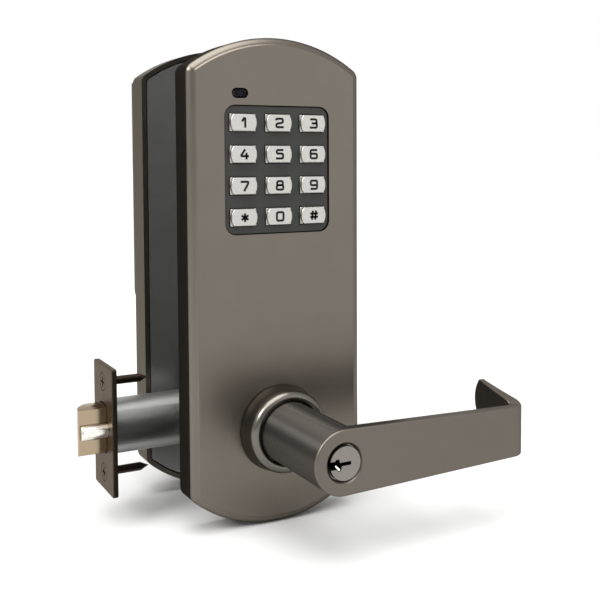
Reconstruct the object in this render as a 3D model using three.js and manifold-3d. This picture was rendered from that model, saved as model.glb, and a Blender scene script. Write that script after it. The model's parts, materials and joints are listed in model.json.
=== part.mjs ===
// Keypad smart lock: a tubular lever lockset with a keypad outside and batteries inside.
// Millimetres, +Z up. The origin is on the lever axis, on the door's outside face.
// The outside trim faces -Y, the latch edge is toward -X, and the door fills Y 0 to DOOR.
import * as THREE from 'three';
import { mergeVertices } from 'three/addons/utils/BufferGeometryUtils.js';
import Module from 'manifold-3d';

const wasm = await Module();
wasm.setup();

// ---- driving dimensions -------------------------------------------------------------------
const DOOR = 44.45;            // door thickness, 1-3/4 in
const BACKSET = 69.85;         // lever axis to door edge, 2-3/4 in
const GAP = 0.3;               // clearance between touching pieces

const TRIM = { halfWidth: 42.25, depth: 16.5, edge: 3, wall: 2.2, corner: 4.5 };
const TOP_ARC = { z: 103.6, r: 70.2 };      // arched top, highest point at z + r
const BOTTOM_ARC = { z: 18.3, r: 61.8 };    // arched bottom, lowest point at z - r
const GASKET = 1;
const PLATE = { front: -3.2, back: -1.6, inset: 2.7 };

const KEYPAD = { z: 115.65, halfX: 25.8, halfZ: 28.3, corner: 5.2, face: -15.8 };
const KEY = { width: 12.4, height: 7.65, pitchX: 17.1, pitchZ: 13.75, topZ: 136.25,
  base: -16.5, face: -18, discR: 6.2, back: -11.3 };
const LAMP = { x: -18.3, z: 149, halfX: 3.9, halfZ: 2.25, spacing: 4 };

const NECK_R = 13.5;
const COLLAR = { baseR: 19.7, rimR: 18.3, front: -27.5, step: -19.5, tailR: 14.6 };
const LEVER = { face: -74, bar: 5.6, length: 94.4, bend: 8, halfAtEnd: 10.9, lowRound: 4,
  legTip: -40.4, legTop: 10.2, legLow: -9, tipTop: 17.3, tipLow: -1.5, tipR: 14, tipOutside: 92.6, tipInside: 90.4,
  cylinderBore: 9.5, mouth: 7.5, rearBore: 11.9, rear: -19.8 };
const SLEEVE = { outer: 11.6, inner: 9.2, front: -35, back: 2.4 };
const PLUG = { headR: 7, bodyR: 6.2, front: -74.3, step: -71.5, back: -49.6 };
const HUB = { r: 8.9, front: -13.5, back: 1.6 };
const SPINDLE = { side: 8, front: -6.5, back: 64.4 };
const CLUTCH = { y: -5.3, pinR: 1.2 };
const POSTS = [156, -23];      // heights of the two through bolts on the centre line
const POST_R = 4.2;

const FACEPLATE = { thick: 2.3, wide: 28.58, high: 57.15, screwZ: 20.65 };
const BOLT = { throw: 12.7, half: 11.2, near: -5.5, far: 6, tubeR: 11.4 };
const CASE = { outer: 12.4, inner: 11.75, end: -26 };
const CAM = { r: 9.3, half: 8.3, finger: 16, startDeg: -27.5, pinR: 1.2, pinX: -2.46, pinZ: 12.2 };

const HOUSING = { depth: 31, boxHalfX: 38, boxLow: 46, boxHigh: 166 };
const CELL = { r: 7.25, half: 25.25, y: -17.4, lowest: 96.4, pitch: 15.4 };

// ---- helpers ------------------------------------------------------------------------------
function toSolid(geometry) {
  const bare = geometry.clone();
  bare.deleteAttribute('normal');
  bare.deleteAttribute('uv');
  const merged = mergeVertices(bare, 1e-4);
  return new wasm.Manifold(new wasm.Mesh({
    numProp: 3,
    vertProperties: new Float32Array(merged.attributes.position.array),
    triVerts: new Uint32Array(merged.index.array),
  }));
}

function toGeometry(solid) {
  const mesh = solid.getMesh();
  const geometry = new THREE.BufferGeometry();
  geometry.setAttribute('position', new THREE.BufferAttribute(mesh.vertProperties, 3));
  geometry.setIndex(new THREE.BufferAttribute(mesh.triVerts, 1));
  geometry.computeVertexNormals();
  return geometry;
}

const join = (...solids) => solids.reduce((all, next) => all.add(next));
const cut = (body, ...tools) => tools.reduce((rest, tool) => rest.subtract(tool), body);

function box(x0, x1, y0, y1, z0, z1) {
  const geometry = new THREE.BoxGeometry(x1 - x0, y1 - y0, z1 - z0);
  return toSolid(geometry.translate((x0 + x1) / 2, (y0 + y1) / 2, (z0 + z1) / 2));
}

// A solid of revolution about the Y axis from [radius, y] points in order of rising y.
function turned(points, segments = 24) {
  const closed = [...points];
  if (points[0][0] > 0) closed.push(points[0]);
  return toSolid(new THREE.LatheGeometry(closed.map(([r, y]) => new THREE.Vector2(r, y)), segments));
}

const rod = (r, y0, y1, segments) => turned([[0, y0], [r, y0], [r, y1], [0, y1]], segments);
const ring = (r0, r1, y0, y1, segments) => turned([[r0, y0], [r1, y0], [r1, y1], [r0, y1]], segments);
const rodX = (r, x0, x1, segments) => rod(r, x0, x1, segments).rotate([0, 0, -90]);
const rodZ = (r, z0, z1, segments) => rod(r, z0, z1, segments).rotate([90, 0, 0]);

// An outline in X and Z, drawn seen from outside, pushed from y0 to y1.
function pushed(outline, y0, y1, edge = 0) {
  const geometry = new THREE.ExtrudeGeometry(outline, {
    depth: y1 - y0 - 2 * edge, steps: 1, curveSegments: 10,
    bevelEnabled: edge > 0, bevelThickness: edge, bevelSize: edge, bevelOffset: -edge, bevelSegments: 2,
  });
  geometry.rotateX(Math.PI / 2);
  return toSolid(geometry.translate(0, y1 - edge, 0));
}

function arcPoints(x, z, r, from, to, steps) {
  return Array.from({ length: steps + 1 }, (_, i) => {
    const angle = from + (to - from) * i / steps;
    return new THREE.Vector2(x + r * Math.cos(angle), z + r * Math.sin(angle));
  });
}

function roundedRect(halfX, halfZ, r) {
  const corners = [[1, 1], [-1, 1], [-1, -1], [1, -1]];
  return new THREE.Shape(corners.flatMap(([sx, sz], i) =>
    arcPoints(sx * (halfX - r), sz * (halfZ - r), r, i * Math.PI / 2, (i + 1) * Math.PI / 2, 3)));
}

// The trim's outline: straight sides, arched ends, small rounds where they meet.
function trimOutline(inset, corner = TRIM.corner) {
  const half = TRIM.halfWidth - inset;
  const r = corner - Math.min(inset, corner - 0.8);
  const reach = arc => Math.sqrt((arc.r - inset - r) ** 2 - (half - r) ** 2);
  const topZ = TOP_ARC.z + reach(TOP_ARC);
  const lowZ = BOTTOM_ARC.z - reach(BOTTOM_ARC);
  const topAngle = Math.atan2(topZ - TOP_ARC.z, half - r);
  const lowAngle = Math.atan2(lowZ - BOTTOM_ARC.z, half - r);
  return new THREE.Shape([
    ...arcPoints(half - r, topZ, r, 0, topAngle, 2),
    ...arcPoints(0, TOP_ARC.z, TOP_ARC.r - inset, topAngle, Math.PI - topAngle, 10).slice(1, -1),
    ...arcPoints(r - half, topZ, r, Math.PI - topAngle, Math.PI, 2),
    ...arcPoints(r - half, lowZ, r, Math.PI, Math.PI - lowAngle, 2),
    ...arcPoints(0, BOTTOM_ARC.z, BOTTOM_ARC.r - inset, -Math.PI - lowAngle, lowAngle, 10).slice(1, -1),
    ...arcPoints(half - r, lowZ, r, lowAngle, 0, 2),
  ]);
}

// A wire wound round the Y axis, with straight ends.
function coil(meanR, wireR, y0, y1, turns, stepsPerTurn) {
  class Helix extends THREE.Curve {
    getPoint(t, target = new THREE.Vector3()) {
      const angle = 2 * Math.PI * turns * t;
      return target.set(meanR * Math.cos(angle), y0 + (y1 - y0) * t, meanR * Math.sin(angle));
    }
  }
  const section = new THREE.Shape(arcPoints(0, 0, wireR, 0, 2 * Math.PI, 5).slice(0, -1));
  return toSolid(new THREE.ExtrudeGeometry(section, {
    steps: Math.round(turns * stepsPerTurn), extrudePath: new Helix(), bevelEnabled: false }));
}

function material(colour, roughness, metalness) {
  return new THREE.MeshStandardMaterial({ color: colour, roughness, metalness });
}

function named(name, solid, skin, x = 0, y = 0, z = 0) {
  const mesh = new THREE.Mesh(toGeometry(solid), skin);
  mesh.name = name;
  mesh.position.set(x, y, z);
  return mesh;
}

// ---- materials ----------------------------------------------------------------------------
const BRONZE = material(0x6f6862, 0.36, 0.9);
const STEEL = material(0x9a9a98, 0.4, 0.9);
const NICKEL = material(0xb9b5ae, 0.3, 0.95);
const BRASS = material(0xb89c6a, 0.35, 0.9);
const KEY_METAL = material(0xdedad4, 0.35, 0.6);
const BLACK_PLASTIC = material(0x3c3f3a, 0.6, 0);
const GREY_RUBBER = material(0x2b2b2b, 0.9, 0);
const BOARD_GREEN = material(0x1e5a35, 0.5, 0);
const RED_LENS = material(0xa02020, 0.3, 0);
const BLUE_LENS = material(0x203a90, 0.3, 0);
const SMOKE = material(0x1c1416, 0.15, 0);
const CELL_SKIN = material(0x3a5f8f, 0.4, 0.2);
const CABLE_GREY = material(0x8c8c88, 0.6, 0);

// ---- pieces used by both trims ------------------------------------------------------------
function threadedPosts(from, to) {
  return POSTS.map(z => rod(POST_R, from, to, 20).translate([0, 0, z]));
}

function postHoles(r, from, to) {
  return POSTS.map(z => rod(r, from, to, 16).translate([0, 0, z]));
}

function collarBody() {
  const { baseR, rimR, front, step, tailR } = COLLAR;
  const inner = SLEEVE.outer + 0.5;
  const base = -TRIM.depth - GAP;
  return turned([
    [NECK_R + 0.5, step], [NECK_R + 0.5, front + 0.5], [rimR - 2.6, front], [rimR - 0.7, front + 1.2],
    [rimR, front + 3], [baseR - 0.8, base - 3.4], [baseR, base - 1], [baseR, base], [tailR, base],
    [tailR, -11.5], [inner, -11.5], [inner, step],
  ], 28);
}

// The lever's front: a round hub that runs out into a tapering bar.
function barOutline() {
  const { length, halfAtEnd, lowRound: round } = LEVER;
  const slope = Math.atan2(NECK_R - halfAtEnd, length);
  return new THREE.Shape([
    ...arcPoints(0, 0, NECK_R, Math.PI / 2 - slope, 3 * Math.PI / 2 + slope, 16),
    ...arcPoints(length - round, -halfAtEnd + round, round, -Math.PI / 2, 0, 4),
    ...arcPoints(length - 0.5, halfAtEnd - 0.5, 0.5, 0, Math.PI / 2, 1),
  ]);
}

// The bar and its return leg seen from above, as an outline in X and Y.
function plan() {
  const { face, bar, length, bend, legTip, tipOutside, tipInside } = LEVER;
  const inner = bend - bar;
  const outside = arcPoints(length - bend, face + bend, bend, -Math.PI / 2, 0, 6);
  const inside = arcPoints(length - bend, face + bend, inner, 0, -Math.PI / 2, 4);
  return new THREE.Shape([
    new THREE.Vector2(0, face), ...outside, new THREE.Vector2(tipOutside, legTip),
    new THREE.Vector2(tipInside, legTip), ...inside, new THREE.Vector2(0, face + bar),
  ]);
}

// The return leg seen along X: it sweeps up from the bar to a rounded tip.
function legOutline() {
  const { face, legTop, legLow, legTip, tipTop, tipLow, tipR } = LEVER;
  const spread = Math.asin((tipTop - tipLow) / 2 / tipR);
  return new THREE.Shape([new THREE.Vector2(face, legLow),
    ...arcPoints(legTip - tipR, (tipTop + tipLow) / 2, tipR, -spread, spread, 10),
    new THREE.Vector2(face, legTop)]);
}

function extrudeZ(shape, z0, z1) {
  const geometry = new THREE.ExtrudeGeometry(shape, { depth: z1 - z0, steps: 1, bevelEnabled: false });
  return toSolid(geometry.translate(0, 0, z0));
}

function extrudeX(shape, x0, x1) {
  const geometry = new THREE.ExtrudeGeometry(shape, { depth: x1 - x0, steps: 1, bevelEnabled: false });
  geometry.applyMatrix4(new THREE.Matrix4().makeBasis(
    new THREE.Vector3(0, 1, 0), new THREE.Vector3(0, 0, 1), new THREE.Vector3(1, 0, 0)));
  return toSolid(geometry.translate(x0, 0, 0));
}

function leverBody() {
  const { face, bar, length, bend, tipTop, rear } = LEVER;
  const sheet = extrudeZ(plan(), -tipTop - 1, tipTop + 1);
  const front = sheet.intersect(pushed(barOutline(), face, face + bar));
  const corner = sheet.intersect(pushed(barOutline(), face + 0.5, face + bend + 1));
  const leg = sheet.intersect(extrudeX(legOutline(), length - bend - 4, length + 1));
  const trimmedLeg = cut(leg, box(0, length + 1, face - 1, face + bend, -40, 40));
  const neck = rod(NECK_R, face + 0.4, rear, 32);
  return join(front, corner, trimmedLeg, neck);
}

function outsideLever() {
  const { face, cylinderBore, mouth, rearBore, rear } = LEVER;
  const step = PLUG.step;
  return cut(leverBody(),
    turned([[0, face - 1], [mouth + 1, face - 1], [mouth + 0.8, face], [mouth, face + 0.9], [mouth, step],
      [cylinderBore, step], [cylinderBore, SLEEVE.front - 1], [rearBore, SLEEVE.front - 1],
      [rearBore, rear + 1], [0, rear + 1]], 24),
    box(8, 11.8, step, SLEEVE.front - 1, -3.2, 3.2));
}

function insideLever() {
  const { face, bar, cylinderBore, rearBore, rear } = LEVER;
  return cut(leverBody(), turned([[0, face + bar], [cylinderBore, face + bar], [cylinderBore, SLEEVE.front - 1],
    [rearBore, SLEEVE.front - 1], [rearBore, rear + 1], [0, rear + 1]])).mirror([1, 0, 0]);
}

function driveSleeve(...extra) {
  const { outer, inner, front, back } = SLEEVE;
  return join(turned([
    [inner, front], [outer, front], [outer, 0.2], [outer - 1, 0.2], [outer - 1, 1.8], [outer, 1.8],
    [outer, back], [inner, back]], 24), ...extra);
}

// ---- outside trim -------------------------------------------------------------------------
function trimShell(depth, rim) {
  const outer = pushed(trimOutline(0), -depth, TRIM.edge + 2, TRIM.edge);
  const rest = outer.intersect(box(-60, 60, -depth - 1, rim, -60, 200));
  const inside = pushed(trimOutline(TRIM.wall), -depth + TRIM.wall, 5);
  return cut(rest, inside);
}

function outsideEscutcheon() {
  const { depth, wall } = TRIM;
  const inner = -depth + wall;
  const shell = join(trimShell(depth, -GASKET - GAP), ...threadedPosts(inner - 0.5, PLATE.front - GAP));
  const window = pushed(roundedRect(KEYPAD.halfX, KEYPAD.halfZ, KEYPAD.corner), -depth - 1, inner + 1);
  const eye = pushed(roundedRect(LAMP.halfX, LAMP.halfZ, LAMP.halfZ - 0.01), -depth - 1, inner + 1);
  return cut(shell, window.translate([0, 0, KEYPAD.z]), eye.translate([LAMP.x, 0, LAMP.z]),
    rod(COLLAR.tailR + GAP, -depth - 1, inner + 1, 28), ...postHoles(2.1, -depth + 5, 0));
}

const keyColumns = [-1, 0, 1].map(i => i * KEY.pitchX);
const keyRows = [0, 1, 2, 3].map(i => KEY.topZ - i * KEY.pitchZ);

function keypadBezel() {
  const inner = -TRIM.depth + TRIM.wall;
  const { halfX, halfZ, corner, face } = KEYPAD;
  const plate = pushed(roundedRect(halfX - GAP, halfZ - GAP, corner - GAP), face, inner + GAP);
  const flange = box(-halfX - 2.2, halfX + 2.2, inner + GAP, inner + 1.7, -halfZ - 1.2, halfZ + 1.2);
  const hole = box(-KEY.width / 2 - GAP, KEY.width / 2 + GAP, face - 1, inner + 3,
    -KEY.height / 2 - GAP, KEY.height / 2 + GAP);
  const holes = keyRows.flatMap(z => keyColumns.map(x => hole.translate([x, 0, z - KEYPAD.z])));
  return cut(join(plate, flange), ...holes).translate([0, 0, KEYPAD.z]);
}

// One key: a rectangular base under a raised round face that its long edges cut off.
function keyBody() {
  const { width, height, base, face, discR, back } = KEY;
  const trunk = box(-width / 2, width / 2, base, back, -height / 2, height / 2);
  const disc = turned([[0, face], [discR - 0.7, face], [discR, face + 0.6], [discR, base + 0.3],
    [0, base + 0.3]], 24).intersect(box(-8, 8, face - 1, base + 1, -height / 2, height / 2));
  const flange = box(-width / 2 - 0.9, width / 2 + 0.9, back - 1, back, -height / 2 - 0.9, height / 2 + 0.9);
  return cut(join(trunk, disc, flange), box(-3.7, 3.7, -13.5, back + 1, -2.8, 2.8));
}

function keypadMembrane() {
  const sheet = box(-27, 27, -9.9, -9, 86.7, 144.8);
  const dome = turned([[0, -11.9], [1.8, -11.9], [2.4, -9.5], [0, -9.5]], 8);
  return join(sheet, ...keyRows.flatMap(z => keyColumns.map(x => dome.translate([x, 0, z]))));
}

function keypadBoard() {
  const plate = box(-27, 27, -8.6, -7.2, 84, 151.2);
  const socket = box(17.5, 26.5, -7.4, -4.4, 84.5, 89);
  const chip = box(-8, 4, -7.4, -5.8, 108, 120);
  return join(plate, socket, chip);
}

function lampLens() {
  const inner = -TRIM.depth + TRIM.wall;
  const { halfX, halfZ } = LAMP;
  const front = pushed(roundedRect(halfX - GAP, halfZ - GAP, halfZ - GAP - 0.01), -TRIM.depth + 0.4,
    inner + GAP);
  return join(front, box(-4.8, 4.8, inner + GAP, inner + 1.1, -3, 3));
}

const lamp = () => turned([[0, -12.9], [1, -12.6], [1.4, -11.8], [1.4, -8.9], [0, -8.9]], 10);

function gasket() {
  return cut(pushed(trimOutline(0.6), -GASKET, 0), pushed(trimOutline(5.4), -GASKET - 1, 1));
}

function outsidePlate() {
  const { front, back, inset } = PLATE;
  return cut(pushed(trimOutline(inset), front, back), rod(SLEEVE.outer + 0.5, front - 1, back + 1, 32),
    box(18, 26, front - 1, back + 1, 2.6, 6.4), ...postHoles(2.9, front - 1, back + 1));
}

function cylinderShell() {
  const { bodyR, step, back } = PLUG;
  const front = step + GAP;
  const tower = box(7, 11.4, front, back, -2.9, 2.9);
  return cut(join(rod(9.2, front, back, 28), tower), rod(bodyR + GAP, front - 1, back + 1, 28));
}

// The keyway is a flat slot, open at the rim away from the pin tower, with a ward on each side.
function cylinderPlug() {
  const { headR, bodyR, front, step, back } = PLUG;
  const slot = join(box(-headR - 1, 3.2, front - 1, -52, -0.75, 0.75),
    box(-4.4, -2.2, front - 1, -52, -0.75, 1.7), box(-headR - 1, -5.2, front - 1, -52, -1.9, 0.75));
  return cut(turned([[0, front], [headR - 0.3, front], [headR, front + 0.3], [headR, step - 0.1],
    [bodyR, step - 0.1], [bodyR, back], [0, back]], 32), slot);
}

function cylinderTailpiece() {
  const start = PLUG.back + GAP;
  return join(rod(8, start, start + 1.6, 20), box(-3, 3, start + 1, -11.6, -0.75, 0.75));
}

function driveHub() {
  const { r, front, back } = HUB;
  const half = SPINDLE.side / 2 + GAP;
  return cut(rod(r, front, back, 28), rod(3.9, front - 1, front + 3, 16),
    box(-half, half, SPINDLE.front - GAP, back + 1, -half, half),
    rodZ(CLUTCH.pinR + GAP, 6.6, r + 1, 12).translate([0, CLUTCH.y, 0]));
}

function outsideSleeve() {
  return cut(driveSleeve(), rodZ(CLUTCH.pinR + GAP, 8, 13, 12).translate([0, CLUTCH.y, 0]));
}

function circlip() {
  return cut(ring(SLEEVE.outer - 0.7, SLEEVE.outer + 2, 0.5, 1.5, 20), box(-3, 3, -1, 3, -20, -5));
}

function clutchSlider() {
  const pad = cut(box(-3, 3, -6.5, -4.1, 12, 24), rod(13.2, -8, -3, 40));
  const ear = box(-3, 3, -11, -4.1, 21, 24);
  return cut(join(pad, ear), rodZ(1.3, 19, 26, 12).translate([0, -8.8, 0]));
}

function clutchScrew() {
  return join(rodZ(1, 19, 29.4, 10), rodZ(1.6, 27.4, 29.4, 10)).translate([0, -8.8, 0]);
}

function clutchMotor() {
  const can = rodZ(4, 29.7, 44, 20).translate([0, -8.8, 0]);
  const foot = box(-6, 6, -5.2, PLATE.front - GAP, 30.5, 43);
  return join(can, foot);
}

function outsideTrim() {
  const trim = new THREE.Group();
  const keyNames = [['key_1', 'key_2', 'key_3'], ['key_4', 'key_5', 'key_6'],
    ['key_7', 'key_8', 'key_9'], ['key_star', 'key_0', 'key_hash']];
  keyNames.forEach((row, j) => row.forEach((name, i) =>
    trim.add(named(name, keyBody(), KEY_METAL, keyColumns[i], 0, keyRows[j]))));
  trim.add(
    named('outside_escutcheon', outsideEscutcheon(), BRONZE),
    named('keypad_bezel', keypadBezel(), BLACK_PLASTIC),
    named('keypad_membrane', keypadMembrane(), GREY_RUBBER),
    named('keypad_board', keypadBoard(), BOARD_GREEN),
    named('lamp_lens', lampLens(), SMOKE, LAMP.x, 0, LAMP.z),
    named('red_lamp', lamp(), RED_LENS, LAMP.x - LAMP.spacing / 2, 0, LAMP.z),
    named('blue_lamp', lamp(), BLUE_LENS, LAMP.x + LAMP.spacing / 2, 0, LAMP.z),
    named('outside_gasket', gasket(), GREY_RUBBER),
    named('outside_mounting_plate', outsidePlate(), STEEL),
    named('outside_collar', collarBody(), BRONZE),
    named('outside_lever', outsideLever(), BRONZE),
    named('cylinder_shell', cylinderShell(), STEEL),
    named('cylinder_plug', cylinderPlug(), NICKEL),
    named('cylinder_tailpiece', cylinderTailpiece(), BRASS),
    named('outside_drive_sleeve', outsideSleeve(), STEEL),
    named('outside_circlip', circlip(), STEEL),
    named('lever_return_spring', coil(13.5, 0.7, -10, -7.8, 1.9, 16), STEEL),
    named('drive_hub', driveHub(), STEEL),
    named('clutch_pin', rodZ(CLUTCH.pinR, 7, 12.9, 12), STEEL, 0, CLUTCH.y, 0),
    named('clutch_slider', clutchSlider(), STEEL),
    named('clutch_screw', clutchScrew(), STEEL),
    named('clutch_motor', clutchMotor(), STEEL));
  return trim;
}

// ---- latch, in a group whose Y is 0 in the middle of the door ------------------------------
function boltSection(grow) {
  const { half, near, far, tubeR } = BOLT;
  return rodX(tubeR + grow, -90, -40, 36)
    .intersect(box(-90, -40, near - grow, far + grow, -half - grow, half + grow));
}

function plungerSection(r, x0, x1) {
  const flat = BOLT.near - GAP;
  return rodX(r, x0, x1, 20).translate([0, flat, 0]).intersect(box(x0, x1, flat - r - 1, flat, -r, r));
}

function latchFaceplate() {
  const { thick, wide, high, screwZ } = FACEPLATE;
  const sink = rodX(2.4, -BACKSET - 1, -60, 16);
  const cone = turned([[0, -BACKSET - 1], [4.5, -BACKSET - 1], [4.3, -BACKSET], [2.2, -BACKSET + 2.1],
    [0, -BACKSET + 2.1]], 20).rotate([0, 0, -90]);
  const holes = [screwZ, -screwZ].map(z => join(sink, cone).translate([0, 0, z]));
  return cut(box(-BACKSET, -BACKSET + thick, -wide / 2, wide / 2, -high / 2, high / 2),
    boltSection(GAP), plungerSection(3.4 + GAP, -80, -60), ...holes);
}

function latchScrew() {
  const cone = turned([[0, -BACKSET], [4, -BACKSET], [4, -BACKSET + 0.2], [1.9, -BACKSET + 2],
    [1.9, -BACKSET + 17], [0, -BACKSET + 21]], 16).rotate([0, 0, -90]);
  const cross = join(box(-BACKSET - 1, -BACKSET + 1.3, -0.45, 0.45, -2.2, 2.2),
    box(-BACKSET - 1, -BACKSET + 1.3, -2.2, 2.2, -0.45, 0.45));
  return cut(cone, cross);
}

// A tube in the door's edge that opens into two side plates round the spindle.
function latchCase() {
  const { outer, inner, end } = CASE;
  const start = -BACKSET + FACEPLATE.thick + GAP;
  const tube = cut(rodX(outer, start, end + 1, 24), rodX(inner, start - 1, end - 0.6, 24));
  const side = new THREE.Shape([[end, -11.5], [-21, -11.5], [-19, -16.5], [13, -16.5], [16, -13.5],
    [16, 13.5], [13, 16.5], [-19, 16.5], [-21, 11.5], [end, 11.5]].map(([x, z]) => new THREE.Vector2(x, z)));
  const hole = rod(CAM.r + GAP, -10, 10, 28);
  const web = box(14.5, 16, -8, 8, -13.5, -4);
  const rails = box(end - 2, end + 2, -5.9, 5.9, 5.6, 10.2);
  return cut(join(tube, pushed(side, -8.6, -7.1), pushed(side, 7.1, 8.6), web), hole, rails);
}

// The bolt: flat on the outside face, ramped on the inside face, with a forked tail.
function latchBolt() {
  const tip = -BACKSET - BOLT.throw;
  const { near, far } = BOLT;
  const ramp = new THREE.QuadraticBezierCurve(new THREE.Vector2(-BACKSET - 1, far + 1),
    new THREE.Vector2(tip + 6, far - 1), new THREE.Vector2(tip, near + 2.2));
  const side = new THREE.Shape([new THREE.Vector2(-56, near - 1), new THREE.Vector2(-56, far + 1),
    ...ramp.getPoints(6), new THREE.Vector2(tip, near - 1)]);
  const head = boltSection(0).intersect(extrudeZ(side, -20, 20));
  const rail = join(box(-57, -22, 3.2, 5.6, 6, 9.8), box(-24, 0, 3.2, 5.6, 6, 14.2));
  const step = box(-22, 1, 3, 6, 5, 10);
  const rails = cut(rail, step);
  const pin = rod(CAM.pinR, -4, 4, 12).translate([CAM.pinX, 0, CAM.pinZ]);
  return join(head, rails, rails.mirror([0, 1, 0]), pin);
}

function latchCam() {
  const half = SPINDLE.side / 2 + GAP;
  const finger = box(-2, 2, -2.6, 2.6, 6, CAM.finger).rotate([0, CAM.startDeg, 0]);
  return cut(join(rod(CAM.r, -CAM.half, CAM.half, 28), finger), box(-half, half, -9, 9, -half, half));
}

function latch() {
  const group = new THREE.Group();
  group.position.set(0, DOOR / 2, 0);
  const tip = -BACKSET - BOLT.throw;
  group.add(
    named('latch_faceplate', latchFaceplate(), NICKEL),
    named('latch_screw_upper', latchScrew(), NICKEL, 0, 0, FACEPLATE.screwZ),
    named('latch_screw_lower', latchScrew(), NICKEL, 0, 0, -FACEPLATE.screwZ),
    named('latch_case', latchCase(), STEEL),
    named('latch_bolt', latchBolt(), BRASS),
    named('deadlatch_plunger', plungerSection(3.4, tip + 0.8, -50), NICKEL),
    named('latch_spring', coil(3, 0.45, -55.4, -27.6, 5, 9).rotate([0, 0, -90]), STEEL),
    named('latch_cam', latchCam(), STEEL));
  return group;
}

// ---- inside trim: the same layout turned round, so its own -Y points into the room ---------
function insidePlate() {
  const standoff = rod(3.4, -11.3, -1, 16).translate([0, 0, -34]);
  return cut(join(pushed(trimOutline(PLATE.inset), -1.6, 0), standoff),
    rod(SLEEVE.outer + 0.5, -3, 1, 32), box(-26, -18, -3, 1, 2.6, 6.4), ...postHoles(2.9, -3, 1),
    rod(1.6, -12, -6, 12).translate([0, 0, -34]));
}

function insideHousing() {
  const { depth, boxHalfX, boxLow, boxHigh } = HOUSING;
  const middle = (boxLow + boxHigh) / 2;
  const bulge = pushed(roundedRect(boxHalfX, (boxHigh - boxLow) / 2, 8), -depth, 0, 2.5)
    .translate([0, 0, middle]).intersect(pushed(trimOutline(3), -depth - 1, -4));
  const hollow = pushed(roundedRect(boxHalfX - 2.4, (boxHigh - boxLow) / 2 - 2.4, 6), -depth + 2.4, 5)
    .translate([0, 0, middle]).intersect(pushed(trimOutline(5.4), -depth - 1, 5));
  const screwBoss = rod(5, -TRIM.depth + 1, -11.6, 20).translate([0, 0, -34]);
  const opening = box(-31, 31, -depth - 1, -depth + 4, 84, 155);
  return cut(join(cut(join(trimShell(TRIM.depth, 0), bulge), hollow,
    pushed(trimOutline(TRIM.wall), -TRIM.depth + TRIM.wall, 5)), screwBoss), opening,
  rod(COLLAR.tailR + GAP, -TRIM.depth - 1, -10, 28),
  rod(2, -20, -10, 12).translate([0, 0, -34]), rod(3.9, -TRIM.depth - 1, -14.6, 16).translate([0, 0, -34]));
}

function housingScrew() {
  const head = -TRIM.depth + 0.1;
  return cut(turned([[0, head], [3.5, head], [3.5, head + 1.4], [1.3, head + 1.4], [1.3, -7], [0, -6.4]], 16),
    box(-2.2, 2.2, head - 1, head + 0.8, -0.4, 0.4), box(-0.4, 0.4, head - 1, head + 0.8, -2.2, 2.2));
}

function batteryTray() {
  const outer = box(-30.4, 30.4, -24.6, -7.6, 86, 152.8);
  const well = box(-28.6, 28.6, -26, -9.2, 87.6, 151.2);
  const ribs = [1, 2, 3].map(i => CELL.lowest + (i - 0.5) * CELL.pitch)
    .map(z => box(-28.8, 28.8, -12, -9, z - 0.3, z + 0.3));
  const contacts = [0, 1, 2, 3].flatMap(i => [-1, 1].map(side =>
    rodX(2.4, 25.6, 29, 10).translate([0, CELL.y, CELL.lowest + i * CELL.pitch]).mirror([side > 0 ? 0 : 1, 0, 0])));
  return join(cut(outer, well), ...ribs, ...contacts);
}

function cell() {
  const { r, half } = CELL;
  return turned([[0, -half], [r - 0.8, -half], [r, -half + 0.8], [r, half - 2.2], [r - 1, half - 1.6],
    [2.8, half - 1.6], [2.8, half], [0, half]], 20).rotate([0, 0, -90]);
}

function batteryCover() {
  const { depth } = HOUSING;
  const lid = pushed(roundedRect(34, 40, 5), -depth - 2.3, -depth - GAP, 0.9).translate([0, 0, 119]);
  const rail = box(28.4, 30.6, -depth - 1, -depth + 4.4, 88, 140);
  const grip = [0, 1, 2, 3].map(i => box(-9, 9, -depth - 2.9, -depth - 1.5, 86 + 3 * i, 87.4 + 3 * i));
  return join(lid, rail, rail.mirror([1, 0, 0]), ...grip);
}

function controlBoard() {
  return join(box(-28, 28, -5.6, -4.2, 32, 74), box(-26.5, -17.5, -8.6, -5.4, 32.5, 37),
    box(-6, 8, -7, -5.4, 48, 60), rod(4, -12, -5.4, 16).translate([18, 0, 62]));
}

function insideTrim() {
  const trim = new THREE.Group();
  trim.position.set(0, DOOR, 0);
  trim.rotation.z = Math.PI;
  const web = cut(rod(SLEEVE.inner + 0.2, -20, -6, 28),
    box(-4.3, 4.3, -21, -5, -4.3, 4.3));
  trim.add(
    named('inside_mounting_plate', insidePlate(), STEEL),
    named('inside_housing', insideHousing(), BRONZE),
    named('housing_screw', housingScrew(), NICKEL, 0, 0, -34),
    named('inside_collar', collarBody(), BRONZE),
    named('inside_lever', insideLever(), BRONZE),
    named('inside_drive_sleeve', driveSleeve(web), STEEL),
    named('inside_circlip', circlip(), STEEL),
    named('battery_tray', batteryTray(), BLACK_PLASTIC),
    named('battery_cover', batteryCover(), BRONZE),
    named('control_board', controlBoard(), BOARD_GREEN));
  [0, 1, 2, 3].forEach(i => {
    const mesh = named(`battery_${i + 1}`, cell(), CELL_SKIN, 0, CELL.y, CELL.lowest + i * CELL.pitch);
    mesh.rotation.y = i % 2 ? Math.PI : 0;
    trim.add(mesh);
  });
  return trim;
}

// ---- pieces that cross the door -------------------------------------------------------------
function spindle() {
  const { side, front, back } = SPINDLE;
  return box(-side / 2, side / 2, front, back, -side / 2, side / 2);
}

function throughBolt() {
  const head = DOOR + 1.9;
  return cut(turned([[0, -7], [1.8, -6.5], [1.8, 6], [2.5, 6.5], [2.5, head], [4.6, head],
    [4.6, head + 1.6], [3.4, head + 2.4], [0, head + 2.4]], 12),
  box(-2.6, 2.6, head + 1.2, head + 3, -0.5, 0.5), box(-0.5, 0.5, head + 1.2, head + 3, -2.6, 2.6));
}

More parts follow.
